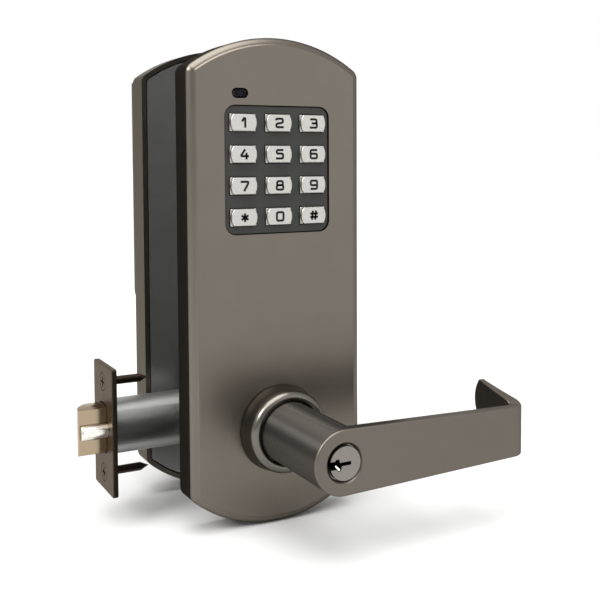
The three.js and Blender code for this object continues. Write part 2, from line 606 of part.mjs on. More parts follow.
// The flat cable drops behind the keypad, crosses the door and rises to the control board.
function ribbonCable() {
  const x0 = 19;
  const x1 = 25;
  const out = -5.9;
  const back = DOOR + 7.2;
  return join(box(x0, x1, out, out + 0.6, 4.2, 84.2), box(x0, x1, out, back, 4.2, 4.8),
    box(x0, x1, back - 0.6, back, 4.2, 32.2));
}

const lock = new THREE.Group();
lock.add(
  outsideTrim(),
  latch(),
  insideTrim(),
  named('spindle', spindle(), STEEL),
  named('through_bolt_upper', throughBolt(), STEEL, 0, 0, POSTS[0]),
  named('through_bolt_lower', throughBolt(), STEEL, 0, 0, POSTS[1]),
  named('ribbon_cable', ribbonCable(), CABLE_GREY));

export default lock;
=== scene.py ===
"""Looks of a keypad lever lock: outside trim with a keypad, tubular latch, inside trim with batteries.

Lengths are written in millimetres and turned into metres when a mesh is made. The origin is on
the lever axis at the door's outside face, +Z is up, and the outside trim faces -Y.
"""
import json
import math

import bmesh
import bpy
from mathutils import Matrix, Vector
from mathutils.geometry import tessellate_polygon


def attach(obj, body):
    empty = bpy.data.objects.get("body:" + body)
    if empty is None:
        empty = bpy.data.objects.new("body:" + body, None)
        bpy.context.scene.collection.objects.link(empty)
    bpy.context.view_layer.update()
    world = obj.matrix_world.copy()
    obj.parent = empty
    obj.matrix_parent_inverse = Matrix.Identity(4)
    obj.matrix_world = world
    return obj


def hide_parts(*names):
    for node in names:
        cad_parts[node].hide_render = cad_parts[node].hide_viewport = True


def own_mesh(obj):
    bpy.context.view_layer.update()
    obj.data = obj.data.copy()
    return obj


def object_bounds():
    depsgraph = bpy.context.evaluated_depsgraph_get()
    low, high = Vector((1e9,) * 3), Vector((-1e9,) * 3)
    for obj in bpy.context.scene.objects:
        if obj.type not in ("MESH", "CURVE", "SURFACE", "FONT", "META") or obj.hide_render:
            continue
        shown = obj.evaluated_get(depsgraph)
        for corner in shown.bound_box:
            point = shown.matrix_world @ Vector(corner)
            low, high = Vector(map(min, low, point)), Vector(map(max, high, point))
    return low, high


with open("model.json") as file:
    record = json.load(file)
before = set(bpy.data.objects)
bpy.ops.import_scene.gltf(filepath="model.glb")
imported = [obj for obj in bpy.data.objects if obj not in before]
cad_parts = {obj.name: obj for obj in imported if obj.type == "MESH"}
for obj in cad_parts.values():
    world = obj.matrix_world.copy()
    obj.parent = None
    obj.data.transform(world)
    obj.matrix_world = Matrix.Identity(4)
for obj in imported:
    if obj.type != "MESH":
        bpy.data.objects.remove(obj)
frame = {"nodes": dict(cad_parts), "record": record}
cad_low, cad_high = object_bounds()

MM = 0.001
TAU = 2 * math.pi

# ---- sizes --------------------------------------------------------------------------------
DOOR = 44.45
BACKSET = 69.85
GAP = 0.3

TRIM_HALF = 42.25
TRIM_FACE = -16.5
TRIM_EDGE = 3.0
TRIM_WALL = 2.2
TRIM_CORNER = 4.5
TOP_ARC = (103.6, 70.2)
LOW_ARC = (18.3, 61.8)
OUTSIDE_REAR = -1.3

WINDOW = (25.8, 28.3, 5.2)
WINDOW_Z = 115.65
BEZEL_FACE = -15.8
EYE = (3.9, 2.25)
EYE_AT = (-18.3, 149.0)

KEY_HALF = (6.2, 3.825)
KEY_PITCH = (17.1, 13.75)
KEY_TOP_Z = 136.25
KEY_BASE = -16.5
KEY_FACE = -18.0
KEY_REAR = -11.3
KEY_DISC = 6.2

NECK_R = 13.5
LEVER_FACE = -74.0
LEVER_BAR = 5.6
LEVER_LENGTH = 94.4
LEVER_BEND = 8.0
COLLAR_BORE_R = 14.9
LEVER_HALF_END = 10.9
LEVER_REAR = -19.8
LEVER_EDGE = 1.0
LEG_TIP = -40.4
LOW_ROUND = 4.0
LEG_THIN = 2.2
LEG_ROUND = 0.4
LEG_TOP = (10.2, 17.3)
LEG_LOW = (-9.0, -1.5)
LEG_TIP_R = 14.0
TIP_SAG = 3.63  # how far the rounded tip falls back at its corners

PLUG_R = 7.0
PLUG_FACE = -74.3
PLUG_STEP = -71.5
PLUG_BODY_R = 6.2
PLUG_REAR = -52.0

BOLT_TIP = -82.55
BOLT_NEAR = -5.5
BOLT_FAR = 6.0
BOLT_HALF = 11.2
BOLT_R = 11.4
PLUNGER_R = 3.4
SCREW_Z = 20.65
SCREW_HEAD_R = 3.95
SCREW_SEAT_R = 4.15
SCREW_SHAFT_R = 1.9
FACEPLATE_HALF = (14.29, 28.575)
FACEPLATE_THICK = 2.3
SEAT_DEPTH = 1.4


# ---- outlines: lists of (across, up) points -----------------------------------------------
def arc(x, z, r, start, end, steps):
    return [(x + r * math.cos(start + (end - start) * i / steps),
             z + r * math.sin(start + (end - start) * i / steps)) for i in range(steps + 1)]


def circle(x, z, r, steps=64):
    return arc(x, z, r, 0, TAU, steps)[:-1]


def rounded(x, z, half_x, half_z, r, steps=8):
    corners = ((1, 1), (-1, 1), (-1, -1), (1, -1))
    points = []
    for i, (sx, sz) in enumerate(corners):
        points += arc(x + sx * (half_x - r), z + sz * (half_z - r), r,
                      i * math.pi / 2, (i + 1) * math.pi / 2, steps)
    return points


def trim_outline(inset):
    """Straight sides and arched ends, with a small round where they meet."""
    half = TRIM_HALF - inset
    r = TRIM_CORNER - min(inset, TRIM_CORNER - 0.8)
    top_z, top_r = TOP_ARC
    low_z, low_r = LOW_ARC
    high = top_z + math.sqrt((top_r - inset - r) ** 2 - (half - r) ** 2)
    low = low_z - math.sqrt((low_r - inset - r) ** 2 - (half - r) ** 2)
    top_angle = math.atan2(high - top_z, half - r)
    low_angle = math.atan2(low - low_z, half - r)
    return (arc(half - r, high, r, 0, top_angle, 6)
            + arc(0, top_z, top_r - inset, top_angle, math.pi - top_angle, 56)[1:-1]
            + arc(r - half, high, r, math.pi - top_angle, math.pi, 6)
            + arc(r - half, low, r, math.pi, math.pi - low_angle, 6)
            + arc(0, low_z, low_r - inset, -math.pi - low_angle, low_angle, 56)[1:-1]
            + arc(half - r, low, r, low_angle, 0, 6))


def window_outline(grow):
    half_x, half_z, r = WINDOW
    return rounded(0, WINDOW_Z, half_x + grow, half_z + grow, r + grow)


def eye_outline(grow):
    half_x, half_z = EYE
    return rounded(*EYE_AT, half_x + grow, half_z + grow, half_z + grow - 0.01)


# ---- mesh building ------------------------------------------------------------------------
CREASE = 32  # degrees
CAD_CREASE = 30
CAD_BEVEL_FROM = 40


def facing_front(depth, outline):
    return [(x, depth, z) for x, z in outline]


def facing_left(depth, outline):
    return [(depth, y, z) for y, z in outline]


class Form:
    """Rings of points and the faces between them."""

    def __init__(self):
        self.points = []
        self.faces = []

    def ring(self, points):
        first = len(self.points)
        self.points.extend(points)
        return list(range(first, len(self.points)))

    def bridge(self, a, b, closed=True):
        for i in range(len(a) if closed else len(a) - 1):
            j = (i + 1) % len(a)
            self.faces.append((a[i], a[j], b[j], b[i]))

    def loft(self, rings, closed=True):
        made = [self.ring(points) for points in rings]
        for a, b in zip(made, made[1:]):
            self.bridge(a, b, closed)
        return made

    def cap(self, ring):
        self.faces.append(tuple(ring))

    def fill(self, outer, holes=()):
        loops = [outer, *holes]
        order = [i for loop in loops for i in loop]
        corners = [[Vector(self.points[i]) for i in loop] for loop in loops]
        for triangle in tessellate_polygon(corners):
            self.faces.append(tuple(order[i] for i in triangle))

    def turn(self, profile, segments=96, closed=True):
        """Turns (radius, y) points about the Y axis."""
        rings = self.loft([facing_front(y, circle(0, 0, max(r, 0.001), segments)) for r, y in profile])
        if closed:
            self.bridge(rings[-1], rings[0])
        return rings

    def spin(self, profile, x, y, z, segments=48):
        """Turns (radius, x) points about a line along X."""
        rings = [[(px, y + a, z + b) for a, b in circle(0, 0, max(r, 0.001), segments)]
                 for r, px in profile]
        return self.loft([[(x + px, py, pz) for px, py, pz in ring] for ring in rings])


def quarter(radius, steps=6):
    """(inset, depth) pairs that round an edge, from its side to its face."""
    return [(radius * (1 - math.cos(math.pi / 2 * i / steps)),
             radius * (1 - math.sin(math.pi / 2 * i / steps))) for i in range(steps + 1)]


def plate(form, outline, face, rear, edge, holes=(), lay=facing_front, steps=5):
    """A flat plate with a rounded front edge; each hole is (outline, edge, depth of its floor or None)."""
    rim = form.loft([lay(rear, outline(0))]
                    + [lay(face + depth, outline(inset)) for inset, depth in quarter(edge, steps)])
    fronts, rears = [], []
    for shape, round_edge, floor in holes:
        bottom = rear if floor is None else floor
        walls = form.loft([lay(face + depth, shape(round_edge - inset))
                           for inset, depth in reversed(quarter(round_edge, 4))]
                          + [lay(bottom, shape(0))])
        fronts.append(walls[0])
        if floor is None:
            rears.append(walls[-1])
        else:
            form.fill(walls[-1])
    form.fill(rim[-1], fronts)
    form.fill(rim[0], rears)


def inside(point):
    """The inside trim is the outside layout turned half round behind the door."""
    x, y, z = point
    return -x, DOOR - y, z


def mirrored(point):
    x, y, z = point
    return x, DOOR - y, z


def in_door(point):
    x, y, z = point
    return x, y + DOOR / 2, z


def piece(name, form, material, body, replaces=(), place=None):
    points = [place(p) for p in form.points] if place else form.points
    mesh = bpy.data.meshes.new(name)
    mesh.from_pydata([Vector(p) * MM for p in points], [], form.faces)
    shape = bmesh.new()
    shape.from_mesh(mesh)
    bmesh.ops.remove_doubles(shape, verts=shape.verts, dist=0.002 * MM)
    bmesh.ops.dissolve_degenerate(shape, edges=shape.edges, dist=0.0005 * MM)
    bmesh.ops.recalc_face_normals(shape, faces=shape.faces)
    shape.to_mesh(mesh)
    shape.free()
    obj = bpy.data.objects.new(name, mesh)
    bpy.context.scene.collection.objects.link(obj)
    mesh.materials.append(material)
    finish_surface(obj)
    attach(obj, body)
    if replaces:
        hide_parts(*replaces)
    return obj


def soften_cad(node, bevel):
    """Joins the CAD node's separate triangles for shading, rounds its edges and keeps corners crisp."""
    node.data.shade_smooth()
    weld = node.modifiers.new("weld", "WELD")
    weld.merge_threshold = 0.001 * MM
    rounder = node.modifiers.new("edges", "BEVEL")
    rounder.width = bevel * MM
    rounder.segments = 2
    rounder.limit_method = "ANGLE"
    rounder.angle_limit = math.radians(CAD_BEVEL_FROM)
    crisp = node.modifiers.new("crisp", "EDGE_SPLIT")
    crisp.split_angle = math.radians(CAD_CREASE)
    crisp.use_edge_sharp = False
    even = node.modifiers.new("shading", "WEIGHTED_NORMAL")
    even.weight = 100


def finish_surface(obj):
    """Shades a drawn piece smoothly up to its creases."""
    obj.data.shade_smooth()
    obj.data.set_sharp_from_angle(angle=math.radians(CREASE))
    even = obj.modifiers.new("shading", "WEIGHTED_NORMAL")
    even.keep_sharp = True


# ---- materials ----------------------------------------------------------------------------
def surface(name, colour, metallic, roughness, *, varied=0.0, grain=(400, 400, 400), rough_spread=0.05,
            bump=0.0, coat=0.0, specular=0.5, transmission=0.0, ior=1.5, patch=60.0, turned=0.0,
            edge=(1.0, 1.0, 1.0)):
    """A shader whose colour, roughness and fine relief follow stretched noise in the object's own space.

    bump is in millimetres, turned is the strength of grooves round the Y axis, and edge tints a
    metal's reflections at a grazing angle.
    """
    material = bpy.data.materials.new(name)
    material.use_nodes = True
    nodes, links = material.node_tree.nodes, material.node_tree.links
    shader = nodes["Principled BSDF"]
    shader.inputs["Metallic"].default_value = metallic
    shader.inputs["Coat Weight"].default_value = coat
    shader.inputs["Specular IOR Level"].default_value = specular
    shader.inputs["Specular Tint"].default_value = (*edge, 1)
    shader.inputs["IOR"].default_value = ior
    shader.inputs["Transmission Weight"].default_value = transmission
    if turned:
        grooves = nodes.new("ShaderNodeTangent")
        grooves.direction_type = "RADIAL"
        grooves.axis = "Y"
        links.new(grooves.outputs["Tangent"], shader.inputs["Tangent"])
        shader.inputs["Anisotropic"].default_value = turned
        shader.inputs["Anisotropic Rotation"].default_value = 0.25
    place = nodes.new("ShaderNodeTexCoord")
    stretch = nodes.new("ShaderNodeMapping")
    stretch.inputs["Scale"].default_value = grain
    links.new(place.outputs["Object"], stretch.inputs["Vector"])
    fine = nodes.new("ShaderNodeTexNoise")
    fine.inputs["Scale"].default_value = 1.0
    fine.inputs["Detail"].default_value = 3.0
    links.new(stretch.outputs["Vector"], fine.inputs["Vector"])

    rough = nodes.new("ShaderNodeMapRange")
    rough.inputs["To Min"].default_value = max(roughness - rough_spread, 0.02)
    rough.inputs["To Max"].default_value = roughness + rough_spread
    links.new(fine.outputs["Fac"], rough.inputs["Value"])
    links.new(rough.outputs["Result"], shader.inputs["Roughness"])

    shader.inputs["Base Color"].default_value = (*colour, 1)
    if varied:
        patches = nodes.new("ShaderNodeTexNoise")
        patches.inputs["Scale"].default_value = patch
        patches.inputs["Detail"].default_value = 2.0
        links.new(place.outputs["Object"], patches.inputs["Vector"])
        blend = nodes.new("ShaderNodeMix")
        blend.data_type = "RGBA"
        blend.inputs[6].default_value = (*[c * (1 - varied) for c in colour], 1)
        blend.inputs[7].default_value = (*[min(c * (1 + varied), 1) for c in colour], 1)
        links.new(patches.outputs["Fac"], blend.inputs[0])
        links.new(blend.outputs[2], shader.inputs["Base Color"])

    if bump:
        relief = nodes.new("ShaderNodeBump")
        relief.inputs["Strength"].default_value = 1.0
        relief.inputs["Distance"].default_value = bump * MM
        links.new(fine.outputs["Fac"], relief.inputs["Height"])
        links.new(relief.outputs["Normal"], shader.inputs["Normal"])
    return material


bronze_upright = surface("satin_bronze_upright", (0.148, 0.131, 0.110), 1.0, 0.34, varied=0.06,
                         grain=(4200, 4200, 70), rough_spread=0.05, bump=0.003, edge=(0.45, 0.44, 0.42))
bronze_lever = surface("satin_bronze_lever", (0.136, 0.120, 0.103), 1.0, 0.40, varied=0.05,
                       grain=(70, 4200, 4200), rough_spread=0.05, bump=0.003, edge=(0.55, 0.54, 0.52))
# The neck gets a darker copy of the lever's bronze, with its grazing reflections dulled: painted shade on the
# neck.
bronze_neck_shaded = surface("satin_bronze_neck_shaded", (0.085, 0.077, 0.069), 1.0, 0.44, varied=0.04,
                      grain=(300, 3000, 300), rough_spread=0.04, turned=0.94, edge=(0.1, 0.1, 0.1))
bronze_turned = surface("satin_bronze_turned", (0.145, 0.132, 0.117), 1.0, 0.26, varied=0.04,
                        grain=(3000, 3000, 3000), rough_spread=0.03, bump=0.001, edge=(0.65, 0.64, 0.62))
key_metal = surface("key_metal", (0.48, 0.466, 0.443), 1.0, 0.38, varied=0.16, grain=(1600, 1600, 1600),
                    rough_spread=0.10, bump=0.02, patch=2200.0)
legend_black = surface("legend_black", (0.006, 0.006, 0.007), 0.0, 0.5, varied=0.1, rough_spread=0.08,
                       specular=0.15)
plastic = surface("black_plastic", (0.020, 0.021, 0.018), 0.0, 0.5, varied=0.12, grain=(2500, 2500, 2500),
                  rough_spread=0.08, bump=0.012, specular=0.38, patch=1500.0)
rubber = surface("black_rubber", (0.022, 0.022, 0.022), 0.0, 0.8, varied=0.1, grain=(1500, 1500, 1500),
                 bump=0.02)
board = surface("circuit_board", (0.02, 0.11, 0.05), 0.0, 0.4, varied=0.15, grain=(900, 900, 900))
smoke = surface("smoked_lens", (0.30, 0.26, 0.28), 0.0, 0.08, rough_spread=0.03, transmission=1.0, ior=1.2)
red = surface("red_lamp", (0.55, 0.02, 0.02), 0.0, 0.25, varied=0.1, rough_spread=0.05)
blue = surface("blue_lamp", (0.02, 0.06, 0.45), 0.0, 0.25, varied=0.1, rough_spread=0.05)
zinc = surface("zinc_steel", (0.36, 0.36, 0.35), 1.0, 0.4, varied=0.1, grain=(700, 700, 700),
               rough_spread=0.1, bump=0.004)
spring = surface("spring_steel", (0.3, 0.3, 0.3), 1.0, 0.3, varied=0.05, rough_spread=0.06)
nickel = surface("satin_nickel", (0.78, 0.76, 0.71), 1.0, 0.20, varied=0.05, grain=(2500, 2500, 2500),
                 rough_spread=0.05, bump=0.002)
plug_face = surface("plug_nickel", (0.21, 0.195, 0.18), 1.0, 0.30, varied=0.08, grain=(1500, 1500, 1500),
                    rough_spread=0.08, bump=0.003)
latch_finish = surface("latch_face", (0.055, 0.042, 0.031), 1.0, 0.42, varied=0.2, grain=(2600, 2600, 300),
                       rough_spread=0.09, bump=0.008, patch=500.0, edge=(0.85, 0.77, 0.70))
brass = surface("bolt_brass", (0.335, 0.262, 0.18), 1.0, 0.16, varied=0.08, grain=(2500, 2500, 400),
                rough_spread=0.05, bump=0.002)
cell_sleeve = surface("cell_sleeve", (0.05, 0.08, 0.16), 0.0, 0.3, varied=0.1, coat=0.3)
sheath = surface("cable_sheath", (0.35, 0.35, 0.34), 0.0, 0.5, varied=0.06)


# ---- outside trim -------------------------------------------------------------------------
# (inset, depth) of the cover's edge: a round shoulder, then a low step up to the face
COVER_EDGE = [(0, 3.0), (0.1, 2.6), (0.4, 2.1), (0.9, 1.6), (1.5, 1.15), (2.1, 0.8), (2.55, 0.62),
              (2.8, 0.54), (3.0, 0.42), (3.4, 0.08), (3.65, 0.0)]


def shell(form, outline, face, rear, holes):
    """A hollow cover: stepped front edge, even wall, and holes that go through its face."""
    outer = form.loft([facing_front(rear, outline(0))]
                      + [facing_front(face + depth, outline(inset)) for inset, depth in COVER_EDGE])
    under = face + TRIM_WALL
    inner = form.loft([facing_front(rear, outline(TRIM_WALL)), facing_front(under, outline(TRIM_WALL))])
    form.bridge(outer[0], inner[0])
    fronts, rears = [], []
    for hole, edge in holes:
        walls = form.loft([facing_front(face + depth, hole(edge - inset))
                           for inset, depth in reversed(quarter(edge, 4))] + [facing_front(under, hole(0))])
        fronts.append(walls[0])
        rears.append(walls[-1])
    form.fill(outer[-1], fronts)
    form.fill(inner[-1], rears)


def collar_bore(grow):
    return circle(0, 0, COLLAR_BORE_R + grow, 72)


escutcheon = Form()
shell(escutcheon, trim_outline, TRIM_FACE, OUTSIDE_REAR,
      [(window_outline, 0.5), (eye_outline, 0.45), (collar_bore, 0.2)])
piece("escutcheon", escutcheon, bronze_upright, "trim", ["outside_escutcheon"])

KEY_NAMES = (("1", "2", "3"), ("4", "5", "6"), ("7", "8", "9"), ("star", "0", "hash"))
key_places = {name: ((column - 1) * KEY_PITCH[0], KEY_TOP_Z - row * KEY_PITCH[1])
              for row, names in enumerate(KEY_NAMES) for column, name in enumerate(names)}


def key_hole(x, z):
    return lambda grow: rounded(x, z, KEY_HALF[0] + GAP + grow, KEY_HALF[1] + GAP + grow, 0.4 + grow, 3)


bezel = Form()
plate(bezel, lambda inset: window_outline(-GAP - inset), BEZEL_FACE, TRIM_FACE + TRIM_WALL + GAP, 0.3,
      [(key_hole(x, z), 0.25, None) for x, z in key_places.values()])
piece("keypad_surround", bezel, plastic, "trim", ["keypad_bezel"])


def key_disc(inset):
    r = KEY_DISC - inset
    half = KEY_HALF[1] - 0.1 - inset
    reach = math.asin(half / r)
    return arc(0, 0, r, -reach, reach, 14) + arc(0, 0, r, math.pi - reach, math.pi + reach, 14)


def key_form(x, z):
    form = Form()
    half_x, half_z = KEY_HALF
    plate(form, lambda inset: rounded(0, 0, half_x - inset, half_z - inset, max(0.4 - inset, 0.05), 3),
          KEY_BASE, KEY_REAR, 0.3)
    plate(form, key_disc, KEY_FACE, KEY_BASE + 0.05, 0.55)
    form.points = [(px + x, py, pz + z) for px, py, pz in form.points]
    return form


# ---- key legends, drawn as strokes ----------------------------------------------------------
STROKE = 1.0
WIDE = 1.62
HIGH = 1.85
LEGENDS = {
    "1": [[(-1.0, 0.35), (-0.15, HIGH), (0.5, HIGH), (0.5, -2.25)]],
    "2": [[(-WIDE, 1.1), (-WIDE, HIGH), (WIDE, HIGH), (WIDE, 0.15), (-WIDE, -0.35), (-WIDE, -HIGH),
           (2.05, -HIGH)]],
    "3": [[(-1.75, HIGH), (1.5, HIGH), (1.5, 0.05), (-0.95, 0.05)],
          [(0.7, 0.05), (WIDE, 0.05), (WIDE, -HIGH), (-1.95, -HIGH)]],
    "4": [[(0.35, 2.2), (-1.8, -0.8), (2.1, -0.8)], [(0.95, 0.7), (0.95, -2.25)]],
    "5": [[(1.8, HIGH), (-1.5, HIGH), (-1.5, 0.3), (WIDE, 0.3), (WIDE, -HIGH), (-1.95, -HIGH)]],
    "6": [[(1.75, HIGH), (-WIDE, HIGH), (-WIDE, -HIGH), (WIDE, -HIGH), (WIDE, 0.2), (-1.4, 0.2)]],
    "7": [[(-1.95, HIGH), (1.75, HIGH), (1.55, 0.9), (-0.3, -2.25)]],
    "8": [[(-1.4, 0.1), (1.4, 0.1), (1.4, HIGH), (-1.4, HIGH), (-1.4, 0.1)],
          [(-WIDE, -HIGH), (WIDE, -HIGH), (WIDE, 0.1), (-WIDE, 0.1), (-WIDE, -HIGH)]],
    "9": [[(-1.75, -HIGH), (WIDE, -HIGH), (WIDE, HIGH), (-WIDE, HIGH), (-WIDE, -0.2), (1.4, -0.2)]],
    "0": [[(-WIDE, -HIGH), (WIDE, -HIGH), (WIDE, HIGH), (-WIDE, HIGH), (-WIDE, -HIGH)]],
    "star": [[(0, -1.9), (0, 1.9)], [(-1.65, -0.95), (1.65, 0.95)], [(-1.65, 0.95), (1.65, -0.95)]],
    "hash": [[(-1.05, -2.1), (-0.55, 2.1)], [(0.55, -2.1), (1.05, 2.1)],
             [(-2.0, 0.75), (2.0, 0.75)], [(-2.0, -0.75), (2.0, -0.75)]],
}


def softened(path, r=0.75, steps=5):
    """Rounds the corners of a path; a path that ends where it starts has its last corner rounded too."""
    looped = path[0] == path[-1]
    points = [Vector(p) for p in (path[:-1] if looped else path)]
    count = len(points)
    out = []
    for i, corner in enumerate(points):
        if not looped and i in (0, count - 1):
            out.append(corner)
            continue
        before, after = points[i - 1], points[(i + 1) % count]
        reach = min(r, (before - corner).length / 2, (after - corner).length / 2)
        a = corner + (before - corner).normalized() * reach
        b = corner + (after - corner).normalized() * reach
        for k in range(steps + 1):
            t = k / steps
            out.append(a * (1 - t) ** 2 + corner * 2 * t * (1 - t) + b * t * t)
    return out, looped


def stroke(form, path, width, depth, x, z):
    line, looped = softened(path)
    left, right = [], []
    for i, point in enumerate(line):
        before = line[i - 1] if looped or i else point
        after = line[(i + 1) % len(line)] if looped or i + 1 < len(line) else point
        ahead = ((after - point).normalized() if after != point else Vector((0, 0)))
        behind = ((point - before).normalized() if before != point else Vector((0, 0)))
        along = (ahead + behind).normalized()
        side = Vector((-along.y, along.x)) * width / 2
        left.append((x + point.x + side.x, depth, z + point.y + side.y))
        right.append((x + point.x - side.x, depth, z + point.y - side.y))
    form.bridge(form.ring(left), form.ring(right), looped)


for name, (x, z) in key_places.items():
    body = f"key_{name}_body"
    piece(f"key_cap_{name}", key_form(x, z), key_metal, body, [f"key_{name}"])
    legend = Form()
    for path in LEGENDS[name]:
        stroke(legend, path, STROKE, KEY_FACE - 0.03, x, z)
    piece(f"legend_{name}", legend, legend_black, body)

lens = Form()
plate(lens, lambda inset: eye_outline(-GAP - inset), TRIM_FACE + 0.5, TRIM_FACE + TRIM_WALL + GAP, 0.5)
piece("lamp_window", lens, smoke, "trim", ["lamp_lens"])

COLLAR = [(14.0, -19.5), (14.0, -26.3), (14.12, -26.75), (14.45, -27.12), (14.9, -27.36), (15.5, -27.45),
          (16.2, -27.36), (16.9, -27.05), (17.55, -26.5), (18.1, -25.7), (18.45, -24.7), (18.62, -23.6),
          (18.7, -22.4), (18.85, -21.1), (19.08, -19.9), (19.35, -18.8), (19.6, -17.8), (19.65, -17.4),
          (19.65, -16.8), (14.6, -16.8), (14.6, -11.5), (12.1, -11.5), (12.1, -19.5)]
for name, node, place in (("collar_outside", "outside_collar", None), ("collar_inside", "inside_collar", inside)):
    collar = Form()
    collar.turn(COLLAR)
    piece(name, collar, bronze_turned, "trim", [node], place)


# ---- levers -------------------------------------------------------------------------------
EDGE_STEPS = 5
FACE_STEPS = 8
SLOPE = math.atan2(NECK_R - LEVER_HALF_END, LEVER_LENGTH)
BEND_X = LEVER_LENGTH - LEVER_BEND


def bar_edge(x, inset):
    return (NECK_R - inset) / math.cos(SLOPE) - x * math.tan(SLOPE)


def bar_low(x):
    """The bar's lower edge, which rounds up to the end of the lever."""
    start = LEVER_LENGTH - LOW_ROUND
    if x < start:
        return -bar_edge(x, 0)
    return LOW_ROUND - bar_edge(start, 0) - math.sqrt(max(LOW_ROUND ** 2 - (x - start) ** 2, 0))


def lever_section(outer, inner, top, low, tuck=0.0, edge=LEVER_EDGE):
    """One closed section: outer and inner are functions from height to (x, y) points on its two faces."""
    middle = (top + low) / 2
    thick = math.dist(outer(middle), inner(middle))
    rounds = [(inset / thick, depth) for inset, depth in quarter(edge, EDGE_STEPS)]
    top_front = [(share, top - drop) for share, drop in rounds]
    top_rear = [(1 - share, z) for share, z in reversed(top_front)]
    low_rear = [(1 - share, low + (top - z)) for share, z in top_front]
    low_front = [(share, low + (top - z)) for share, z in reversed(top_front)]
    inner_top, inner_low = top - edge, low + edge
    across = [inner_top + (inner_low - inner_top) * i / FACE_STEPS for i in range(1, FACE_STEPS)]
    rear_face = [(1.0, z) for z in across]
    front_face = [(0.0, z) for z in reversed(across)]
    section = []
    for share, z in top_front + top_rear + rear_face + low_rear + low_front + front_face:
        a, b = outer(z), inner(z)
        share = 0.5 + (share - 0.5) * (1 - tuck)
        section.append((a[0] + (b[0] - a[0]) * share, a[1] + (b[1] - a[1]) * share, z))
    return section


def leg_line(share):
    """Outer and inner x of the return leg, from the bend (0) to its tip (1)."""
    outer = LEVER_LENGTH - 1.8 * share
    thick = LEVER_BAR + (LEG_THIN - LEVER_BAR) * share
    return outer, outer - thick


def leg_edge(ends, y):
    near, far = ends
    tip_side = LEG_TIP - TIP_SAG
    return near + (far - near) * (y - LEVER_FACE) / (tip_side - LEVER_FACE)


def lever_form(with_lock):
    form = Form()
    steps = quarter(LEVER_EDGE, EDGE_STEPS)

    # front: round end and straight edges, one open ring per step of the rounded edge
    rings = []
    for inset, depth in steps:
        y = LEVER_FACE + depth
        round_end = arc(0, 0, NECK_R - inset, math.pi / 2 - SLOPE, 3 * math.pi / 2 + SLOPE, 60)
        rings.append([(BEND_X, y, bar_edge(BEND_X, inset))] + facing_front(y, round_end)
                     + [(BEND_X, y, -bar_edge(BEND_X, inset))])
    made = form.loft(rings, closed=False)
    half = bar_edge(BEND_X, LEVER_EDGE)
    end_points = form.ring([(BEND_X, LEVER_FACE, -half + 2 * half * i / FACE_STEPS)
                            for i in range(1, FACE_STEPS)])
    holes = []
    if with_lock:
        mouth = form.loft([facing_front(y, circle(0, 0, r, 72)) for r, y in
                           ((8.55, LEVER_FACE), (8.4, LEVER_FACE + 0.06), (7.7, LEVER_FACE + 0.7),
                            (7.5, LEVER_FACE + 1.0), (7.5, PLUG_STEP), (9.5, PLUG_STEP))])
        holes = [mouth[0]]
    form.fill(made[-1] + end_points, holes)

    # bar behind its front face
    def straight(x):
        return lever_section(lambda z: (x, LEVER_FACE), lambda z: (x, LEVER_FACE + LEVER_BAR),
                             bar_edge(x, 0), -bar_edge(x, 0))

    first, last = form.ring(straight(NECK_R * math.sin(SLOPE))), form.ring(straight(BEND_X))
    side = slice(EDGE_STEPS, 3 * (EDGE_STEPS + 1) + FACE_STEPS)
    form.bridge(first[side], last[side], closed=False)

    # bend and return leg
    stations = [last]
    centre_y = LEVER_FACE + LEVER_BEND
    inner_r = LEVER_BEND - LEVER_BAR

    def bent(angle):
        c, s = math.cos(angle), math.sin(angle)
        turn = angle / (math.pi / 2)
        y = centre_y - LEVER_BEND * c
        top = max(bar_edge(BEND_X + LEVER_BEND * s, 0), leg_edge(LEG_TOP, y))
        low = bar_low(BEND_X + LEVER_BEND * s)
        return lever_section(lambda z: (BEND_X + LEVER_BEND * s, centre_y - LEVER_BEND * c),
                             lambda z: (BEND_X + inner_r * s, centre_y - inner_r * c), top, low,
                             edge=LEVER_EDGE + (LEG_ROUND - LEVER_EDGE) * turn)

    for i in range(1, 15):
        stations.append(form.ring(bent(math.pi / 2 * i / 14)))

    def leg(share, tuck=0.0, reach=0.0):
        middle = (LEG_TOP[1] + LEG_LOW[1]) / 2
        thick = LEG_THIN / 2
        side_y = LEG_TIP - TIP_SAG - thick

        def tip(z):
            away = min(abs(z - middle), LEG_TIP_R - 0.5)
            return LEG_TIP - LEG_TIP_R - thick + math.sqrt(LEG_TIP_R ** 2 - away ** 2)

        def at(z, which):
            y = centre_y + (tip(z) - centre_y) * share
            return leg_line(min((y - centre_y) / (LEG_TIP - centre_y), 1))[which], y + reach

        end = centre_y + (side_y - centre_y) * share
        return lever_section(lambda z: at(z, 0), lambda z: at(z, 1), leg_edge(LEG_TOP, end) - tuck * 0.5,
                             leg_edge(LEG_LOW, end) + tuck * 0.5, tuck, LEG_ROUND)

    for i in range(1, 13):
        stations.append(form.ring(leg(i / 12)))
    for i in range(1, 5):
        a = math.pi / 2 * i / 4
        stations.append(form.ring(leg(1, 1 - math.cos(a), LEG_THIN / 2 * math.sin(a))))
    for a, b in zip(stations, stations[1:]):
        form.bridge(a, b)
    return form


def neck_form():
    """The round wall from the hub's face to the lever's rear end."""
    form = Form()
    form.loft([facing_front(y, circle(0, 0, r, 108)) for r, y in
               [(NECK_R, LEVER_FACE + LEVER_EDGE), (NECK_R, LEVER_REAR - 0.5)]
               + [(NECK_R - inset, LEVER_REAR - depth) for inset, depth in quarter(0.5, 3)]
               + [(11.9, LEVER_REAR), (11.9, LEVER_REAR - 15)]])
    return form


